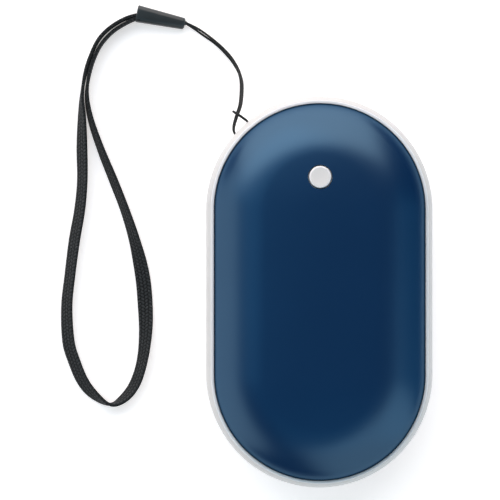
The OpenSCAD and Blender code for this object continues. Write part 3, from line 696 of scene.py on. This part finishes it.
def lay_cord():
    """Thin cord from the ferrule to its hitch on the eyelet and back, its yarns raised."""
    centres = [p * MM for p in eased(CORD_ROUTE, CURVE_STEPS)]
    sides, up, rings = 18, Vector((0, 0, 1)), []
    along = 0.0
    for i, (centre, h) in enumerate(zip(centres, headings(centres))):
        up = (up - up.dot(h) * h).normalized()
        across = h.cross(up)
        along += (centre - centres[max(i - 1, 0)]).length / MM
        ring = []
        for j in range(sides):
            turn = j / sides
            over = abs(2 * ((turn * YARNS + along / BRAID) % 1) - 1)
            under = abs(2 * ((turn * YARNS - along / BRAID) % 1) - 1)
            r = CORD_D / 2 * (1 - BRAID_DEPTH * over * under)
            angle = 2 * math.pi * turn
            ring.append(centre + r * (math.cos(angle) * up + math.sin(angle) * across))
        rings.append(ring)
    cord, length = swept("thin_cord", centres, rings, [j / sides for j in range(sides + 1)])
    fitted(cord, cord_braid(), "housing", "strap_cord", "lanyard_cord")


def strap_outline():
    """Points round the strap's section: ribs on both faces and rounded selvedges."""
    ribs, per_rib = round(STRAP_W / MM / RIB_W), 6
    points = []
    for face in (1, -1):
        for i in range(ribs * per_rib + 1):
            share = i / (ribs * per_rib)
            groove = abs(2 * ((share * ribs) % 1) - 1) ** 4 if 0 < share < 1 else 0
            swell = (1 - abs(2 * share - 1) ** 12) ** 0.5
            half = STRAP_T / 2 * (0.5 + 0.5 * swell) - STRAP_GROOVE * groove
            points.append((face * STRAP_W * (0.5 - share), face * half))
    return points


def lay_strap(ferrule):
    """Woven band, both ends in the ferrule."""
    flat = eased(STRAP_ROUTE, CURVE_STEPS)
    centres = []
    for p in flat:
        lean = math.radians(p.z)
        height = (STRAP_W * math.sin(lean) + STRAP_T * abs(math.cos(lean))) / 2
        centres.append(Vector((p.x * MM, p.y * MM, height)))
    outline = strap_outline()
    rings = []
    for p, centre, h in zip(flat, centres, headings(centres)):
        lean = math.radians(p.z)
        side = Vector((0, 0, 1)).cross(h).normalized()
        across = math.cos(lean) * side + math.sin(lean) * h.cross(side)
        face = h.cross(across)
        rings.append([centre + a * across + b * face for a, b in outline])
    reach = [0.0]
    for (here, _), (there, _) in zip(outline, outline[1:] + outline[:1]):
        reach.append(reach[-1] + abs(there - here) / MM)
    band, length = swept("woven_strap", centres, rings, reach)
    fitted(band, strap_weave(), "housing", "strap_band", "wrist_strap")


def rounded(bm, edges, width, segments, clamp=True):
    """Rounds edges of a bmesh."""
    bmesh.ops.bevel(
        bm, geom=edges, offset=width, offset_type="OFFSET", affect="EDGES",
        segments=segments, profile=0.5, material=-1, clamp_overlap=clamp,
    )


def mould_ferrule():
    """Tapered moulding with rounded edges and a small collar for the cord."""
    length, wide, high, tip_wide, tip_high = (s * MM for s in (12.9, 4.5, 4.2, 3.05, 2.6))
    collar, collar_wide, collar_high, aside = (s * MM for s in (0.4, 1.2, 1.5, 0.25))
    side_r, tip_r, strap_end_r, inset, collar_r = (s * MM for s in (1.2, 0.6, 0.3, 0.3, 0.2))
    strap_end, heading = (-47.9 * MM, 73.25 * MM, 0), math.radians(-12)
    bm = bmesh.new()
    for v in bmesh.ops.create_cube(bm, size=1)["verts"]:
        at_tip = v.co.x > 0
        v.co = (
            length if at_tip else 0,
            v.co.y * (tip_wide if at_tip else wide),
            (v.co.z + 0.5) * (tip_high if at_tip else high),
        )
    rounded(bm, edges_along_x(bm), side_r, segments=8, clamp=False)
    rounded(bm, end_edges(bm, True), tip_r, segments=5)
    rounded(bm, end_edges(bm, False), strap_end_r, segments=5)
    tip = max(bm.faces, key=lambda f: (round(f.normal.x, 3), f.calc_area()))
    bmesh.ops.inset_region(bm, faces=[tip], thickness=inset, use_even_offset=True)
    middle = tip.calc_center_median()
    reach = [max(v.co[i] for v in tip.verts) - min(v.co[i] for v in tip.verts) for i in (1, 2)]
    bmesh.ops.scale(
        bm, verts=tip.verts, vec=(1, collar_wide / reach[0], collar_high / reach[1]),
        space=Matrix.Translation(-middle),
    )
    bmesh.ops.translate(bm, verts=tip.verts, vec=(0, aside, 0))
    made = bmesh.ops.extrude_face_region(bm, geom=[tip])["geom"]
    bmesh.ops.translate(
        bm, verts=[v for v in made if isinstance(v, bmesh.types.BMVert)], vec=(collar, 0, 0)
    )
    bmesh.ops.delete(bm, geom=[tip], context="FACES_ONLY")
    bmesh.ops.recalc_face_normals(bm, faces=bm.faces)
    rounded(bm, end_edges(bm, True), collar_r, segments=3)
    bm.transform(Matrix.Translation(strap_end) @ Matrix.Rotation(heading, 4, "Z"))
    piece = object_of("moulded_ferrule", bm)
    return fitted(piece, ferrule_moulding(), "housing", "ferrule_plastic", "strap_ferrule")


def edges_along_x(bm):
    """The long edges of the ferrule."""
    least = 5 * MM
    return [e for e in bm.edges if abs(e.verts[0].co.x - e.verts[1].co.x) > least]


def end_edges(bm, at_tip):
    """Edges round the flat face at one end."""
    end = (max if at_tip else min)(v.co.x for v in bm.verts)
    return [e for e in bm.edges if all(abs(v.co.x - end) < CLOSE for v in e.verts)]


lay_cord()
lay_strap(mould_ferrule())


# Case

# Steps of a shape turned once round, of the case's half round at each end, and of each side
TURN_STEPS = 96
END_STEPS = 96
SIDE_STEPS = 6


class Section:
    """Outline in the plane y = at_y, drawn with lines and arcs from a first point."""

    def __init__(self, x, z, at_y=0.0):
        self.bm, self.at_y = bmesh.new(), at_y
        self.point = self.bm.verts.new((x, at_y, z))

    def line(self, x, z):
        """Goes straight to a point."""
        last, self.point = self.point, self.bm.verts.new((x, self.at_y, z))
        self.bm.edges.new((last, self.point))

    def arc(self, x, z, turn, steps):
        """Swings the last point about a centre, clockwise where it is positive."""
        made = bmesh.ops.spin(
            self.bm, geom=[self.point], cent=(x, self.at_y, z), axis=(0, 1, 0),
            angle=turn, steps=steps,
        )
        self.point = next(g for g in made["geom_last"] if isinstance(g, bmesh.types.BMVert))

    def tidied(self):
        """The bmesh, with points that meet made one and its faces turned outwards."""
        bmesh.ops.remove_doubles(self.bm, verts=self.bm.verts, dist=CLOSE)
        bmesh.ops.recalc_face_normals(self.bm, faces=self.bm.faces)
        return self.bm

    def turned(self):
        """The outline turned once round its own upright axis."""
        bmesh.ops.spin(
            self.bm, geom=self.bm.verts[:] + self.bm.edges[:], cent=(0, self.at_y, 0),
            axis=(0, 0, 1), angle=2 * math.pi, steps=TURN_STEPS, use_merge=True,
        )
        return self.tidied()

    def carried(self):
        """The outline carried round the whole case, from the plane y = END_Y."""
        bm, moving = self.bm, self.bm.verts[:] + self.bm.edges[:]
        for side in (1, -1):
            made = bmesh.ops.spin(
                bm, geom=moving, cent=(0, side * END_Y, 0), axis=(0, 0, 1),
                angle=math.pi, steps=END_STEPS,
            )
            edges = [g for g in made["geom_last"] if isinstance(g, bmesh.types.BMEdge)]
            step = (0, -side * STRAIGHT / SIDE_STEPS, 0)
            for _ in range(SIDE_STEPS):
                run = bmesh.ops.extrude_edge_only(bm, edges=edges)["geom"]
                verts = {g for g in run if isinstance(g, bmesh.types.BMVert)}
                bmesh.ops.translate(bm, verts=list(verts), vec=step)
                edges = [
                    g for g in run
                    if isinstance(g, bmesh.types.BMEdge) and verts.issuperset(g.verts)
                ]
            moving = [*verts, *edges]
        return self.tidied()


BLUE = blue_anodised()
WHITE = white_moulding()


def cover_shell():
    """Pressed cover: crown, shoulder, rolled rim and skirt, one thickness all over."""
    rim = 0.3 * MM
    rim_x = COVER_X - rim
    rim_z = math.sqrt((SIDE_R - rim) ** 2 - (rim_x - SIDE_X) ** 2)
    rim_turn = math.atan2(rim_z, rim_x - SIDE_X)
    inner_r = SIDE_R - COVER_T
    inner_x = COVER_X - COVER_T
    inner_turn = math.acos((inner_x - SIDE_X) / inner_r)
    s = Section(0, HALF_H, END_Y)
    s.arc(0, HALF_H - CROWN_R, CROWN_TURN, steps=10)
    s.arc(SHOULDER_X, SHOULDER_Z, SHOULDER_TURN - CROWN_TURN, steps=16)
    s.arc(SIDE_X, 0, math.pi / 2 - rim_turn - SHOULDER_TURN, steps=14)
    s.arc(rim_x, rim_z, rim_turn, steps=5)
    s.line(COVER_X, SEAT + BROKEN)
    s.line(COVER_X - BROKEN, SEAT)
    s.line(inner_x, SEAT)
    s.line(inner_x, inner_r * math.sin(inner_turn))
    s.arc(SIDE_X, 0, inner_turn + SHOULDER_TURN - math.pi / 2, steps=8)
    s.arc(SHOULDER_X, SHOULDER_Z, CROWN_TURN - SHOULDER_TURN, steps=10)
    s.arc(0, HALF_H - CROWN_R, -CROWN_TURN, steps=6)
    return s.carried()


def cut(piece, cutter):
    """Takes the cutter's solid out of a piece."""
    tool = piece.modifiers.new("cut", "BOOLEAN")
    tool.operation, tool.solver, tool.object = "DIFFERENCE", "EXACT", cutter
    bpy.context.view_layer.update()
    depsgraph = bpy.context.evaluated_depsgraph_get()
    piece.data = bpy.data.meshes.new_from_object(piece.evaluated_get(depsgraph))
    piece.modifiers.clear()
    bpy.data.objects.remove(cutter)
    piece.data.set_sharp_from_angle(angle=math.radians(CASE_SHARP))
    return piece


def press_front_cover():
    """Front cover, with the hole for the button and that hole's broken edge."""
    bm = cover_shell()
    bmesh.ops.translate(bm, verts=bm.verts, vec=(0, 0, SEAM))
    hole, reach, flare = BUTTON_R + BUTTON_GAP, 3 * MM, math.radians(80)
    punch = Section(0, -reach)
    punch.line(hole, -reach)
    punch.line(hole, -BROKEN)
    punch.arc(hole + BROKEN, -BROKEN, flare, steps=4)
    punch.line(hole + 4 * BROKEN, BROKEN / 2)
    punch.line(hole + 4 * BROKEN, reach)
    punch.line(0, reach)
    cutter = punch.turned()
    tilt = math.asin((BUTTON_Y - END_Y) / CROWN_R)
    top = Vector((0, BUTTON_Y, SEAM + HALF_H - CROWN_R * (1 - math.cos(tilt))))
    cutter.transform(Matrix.Translation(top) @ Matrix.Rotation(-tilt, 4, "X"))
    shell = cut(object_of("front_shell", bm), object_of("punch", cutter))
    fitted(shell, BLUE, "housing", "cover_metal", "front_cover")


def press_rear_cover():
    """Rear cover, its crown pressed to a flat land."""
    bm = cover_shell()
    bm.transform(Matrix.Translation((0, 0, SEAM)) @ Matrix.Diagonal((1, 1, -1, 1)))
    bmesh.ops.bisect_plane(
        bm, geom=bm.verts[:] + bm.edges[:] + bm.faces[:], dist=CLOSE / 10,
        plane_co=(0, 0, 0), plane_no=(0, 0, -1), clear_outer=True,
    )
    bmesh.ops.holes_fill(bm, edges=[e for e in bm.edges if e.is_boundary], sides=0)
    bmesh.ops.recalc_face_normals(bm, faces=bm.faces)
    shell = object_of("rear_shell", bm, CASE_SHARP)
    fitted(shell, BLUE, "housing", "cover_metal", "rear_cover")


def softened(node, name, width, finish):
    """Merged copy of a CAD node with its outer edges of over 45 degrees rounded."""
    least, flat = math.radians(45), math.radians(0.05)
    bm = bmesh.new()
    bm.from_mesh(nodes[node].data)
    bmesh.ops.remove_doubles(bm, verts=bm.verts, dist=CLOSE / 10)
    bmesh.ops.dissolve_limit(
        bm, angle_limit=flat, verts=bm.verts, edges=bm.edges, delimit={"NORMAL"}
    )
    sharp = [
        e for e in bm.edges
        if len(e.link_faces) == 2 and e.is_convex and e.calc_face_angle() > least
    ]
    rounded(bm, sharp, width, segments=2)
    bm.normal_update()
    piece = object_of(name, bm, CASE_SHARP)
    return fitted(piece, finish, "housing", SLOTS[node], node)


def turn_button():
    """Button: dished face, rounded edge, flange and stem."""
    top, flange, low = 12.842 * MM, 11 * MM, 7.87 * MM
    dish, edge, corner = 0.15 * MM, 0.4 * MM, 0.1 * MM
    flange_r, flange_t, stem_r = 4 * MM, 0.8 * MM, 1.5 * MM
    dish_r = (BUTTON_R ** 2 + dish ** 2) / (2 * dish)
    face = BUTTON_R - edge
    s = Section(0, top - dish, BUTTON_Y)
    s.arc(0, top - dish + dish_r, -math.asin(face / dish_r), steps=8)
    s.arc(face, s.point.co.z - edge, math.pi / 2, steps=6)
    s.line(BUTTON_R, flange)
    s.line(flange_r - corner, flange)
    s.line(flange_r, flange - corner)
    s.line(flange_r, flange - flange_t)
    s.line(stem_r, flange - flange_t)
    s.line(stem_r, low)
    s.line(0, low)
    bm = s.turned()
    bmesh.ops.translate(bm, verts=bm.verts, vec=(0, 0, SEAM))
    button = object_of("push_button", bm)
    fitted(button, button_white(), "button", "button_plastic", "button_cap")


SLOTS = {s["node"]: s["material_slot"] for s in frame["record"]["subparts"]}

press_front_cover()
press_rear_cover()
softened("front_frame", "front_band", width=0.12 * MM, finish=WHITE)
softened("rear_frame", "rear_band", width=0.12 * MM, finish=WHITE)
PLATED = plain_metal("plated_steel", (0.72, 0.72, 0.74), streaks=(1, 0.1, 1), rough=0.2)
softened("usb_shell", "inlet_shell", width=0.08 * MM, finish=PLATED)
turn_button()


# Inside

def finish_nodes(finish, *names):
    """Gives CAD nodes that are kept their finish, in the material slots that they have."""
    for name in names:
        for slot in nodes[name].material_slots:
            slot.material = finish.material


def board_faces(node):
    """Heights of a board's upper and lower face."""
    low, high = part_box(node)
    return high.z, low.z


finish_nodes(WHITE, "button_guide")
ZINC = plain_metal("zinc_screw", (0.62, 0.62, 0.6), streaks=(1, 1, 0.15), rough=0.24)
finish_nodes(ZINC, "case_screws", "board_screws")
finish_nodes(textured_plastic("switch_body", (0.03, 0.03, 0.033)), "tact_switch")
PLUNGER = textured_plastic("plunger_plastic", (0.045, 0.03, 0.028), rough=0.36)
finish_nodes(PLUNGER, "switch_plunger")
finish_nodes(textured_plastic("bracket_plastic", (0.032, 0.033, 0.036)), "battery_bracket")
finish_nodes(cast_resin(), "indicator_leds")
finish_nodes(board_mask("main_mask", *board_faces("main_board")), "main_board")
finish_nodes(board_mask("guard_mask", *board_faces("protection_board")), "protection_board")
finish_nodes(inlet_insulator(), "usb_tongue")
finish_nodes(chip_epoxy("control_chip"), "control_chip")
finish_nodes(chip_epoxy("charger_chip"), "charger_chip")
finish_nodes(pressed_ferrite(), "power_inductor")
finish_nodes(fired_ceramic(), "capacitors")
finish_nodes(cell_sleeve(), "battery_cells")
NICKEL = plain_metal("rolled_nickel", (0.66, 0.63, 0.58), streaks=(0.08, 1, 1), rough=0.28)
finish_nodes(NICKEL, "nickel_strips")
finish_nodes(lead_sleeve("battery_lead", (0.38, 0.02, 0.015)), "battery_leads")
finish_nodes(lead_sleeve("film_lead", (0.5, 0.1, 0.03)), "heater_leads")
finish_nodes(lead_sleeve("sensor_bead", (0.05, 0.045, 0.16)), "heat_sensor")
finish_nodes(heater_foil(), "front_heater", "rear_heater")
finish_nodes(closed_foam(), "front_foam_pad", "rear_foam_pad")


# Floor and light

def lay_floor():
    """Plain pale floor."""
    bm = bmesh.new()
    bmesh.ops.create_grid(bm, x_segments=1, y_segments=1, size=4)
    floor = object_of("floor", bm)
    f = Finish(
        "pale_floor", Roughness=0.9, Specular_IOR_Level=0.1,
        Emission_Color=(1.0, 0.95, 0.92, 1.0), Emission_Strength=0.52,
    )
    f.set(Base_Color=f.mix(f.noise(f.place(), scale=30), (0.86, 0.86, 0.86), (0.88, 0.88, 0.88)))
    floor.data.materials.append(f.material)


def softbox(name, glow, lean, turn, size, colour=(1.0, 1.0, 1.0)):
    """Soft light aimed at the case: its brightness, its degrees from overhead and, seen from
    above, from the right, and its two sides in metres."""
    data = bpy.data.lights.new(name, "AREA")
    data.color = colour
    data.shape = "RECTANGLE"
    data.size, data.size_y = size
    data.energy = glow * math.pi * data.size * data.size_y
    light = bpy.data.objects.new(name, data)
    lean, turn = math.radians(lean), math.radians(turn)
    aside = math.sin(lean)
    towards = Vector((aside * math.cos(turn), aside * math.sin(turn), math.cos(lean)))
    light.location = LIGHTS_AWAY * towards
    light.rotation_euler = (-towards).to_track_quat("-Z", "Y").to_euler()
    bpy.context.scene.collection.objects.link(light)


# Distance of the lights, in metres, and brightness of the air around
LIGHTS_AWAY = 1.3
AMBIENT = 0.05
WARM = (1.0, 0.92, 0.9)
COOL = (0.9, 0.97, 1.0)
COLD = (0.2, 0.65, 1.0)
lay_floor()
softbox("far_softbox", glow=2.55, lean=56, turn=99, size=(2.2, 1.7), colour=WARM)
softbox("left_softbox", glow=1.12, lean=67, turn=195, size=(1.8, 1.15))
softbox("near_softbox", glow=1.02, lean=60, turn=306, size=(1.6, 1.5), colour=COOL)
softbox("right_softbox", glow=0.38, lean=62, turn=340, size=(1.1, 1.3), colour=COLD)
softbox("high_softbox", glow=0.6, lean=30, turn=135, size=(1.2, 0.9), colour=COLD)
softbox("low_softbox", glow=0.3, lean=26, turn=275, size=(0.9, 0.7), colour=COLD)

world = bpy.data.worlds.new("studio")
world.use_nodes = True
world.node_tree.nodes["Background"].inputs["Strength"].default_value = AMBIENT
bpy.context.scene.world = world
bpy.context.scene.view_settings.view_transform = "Standard"
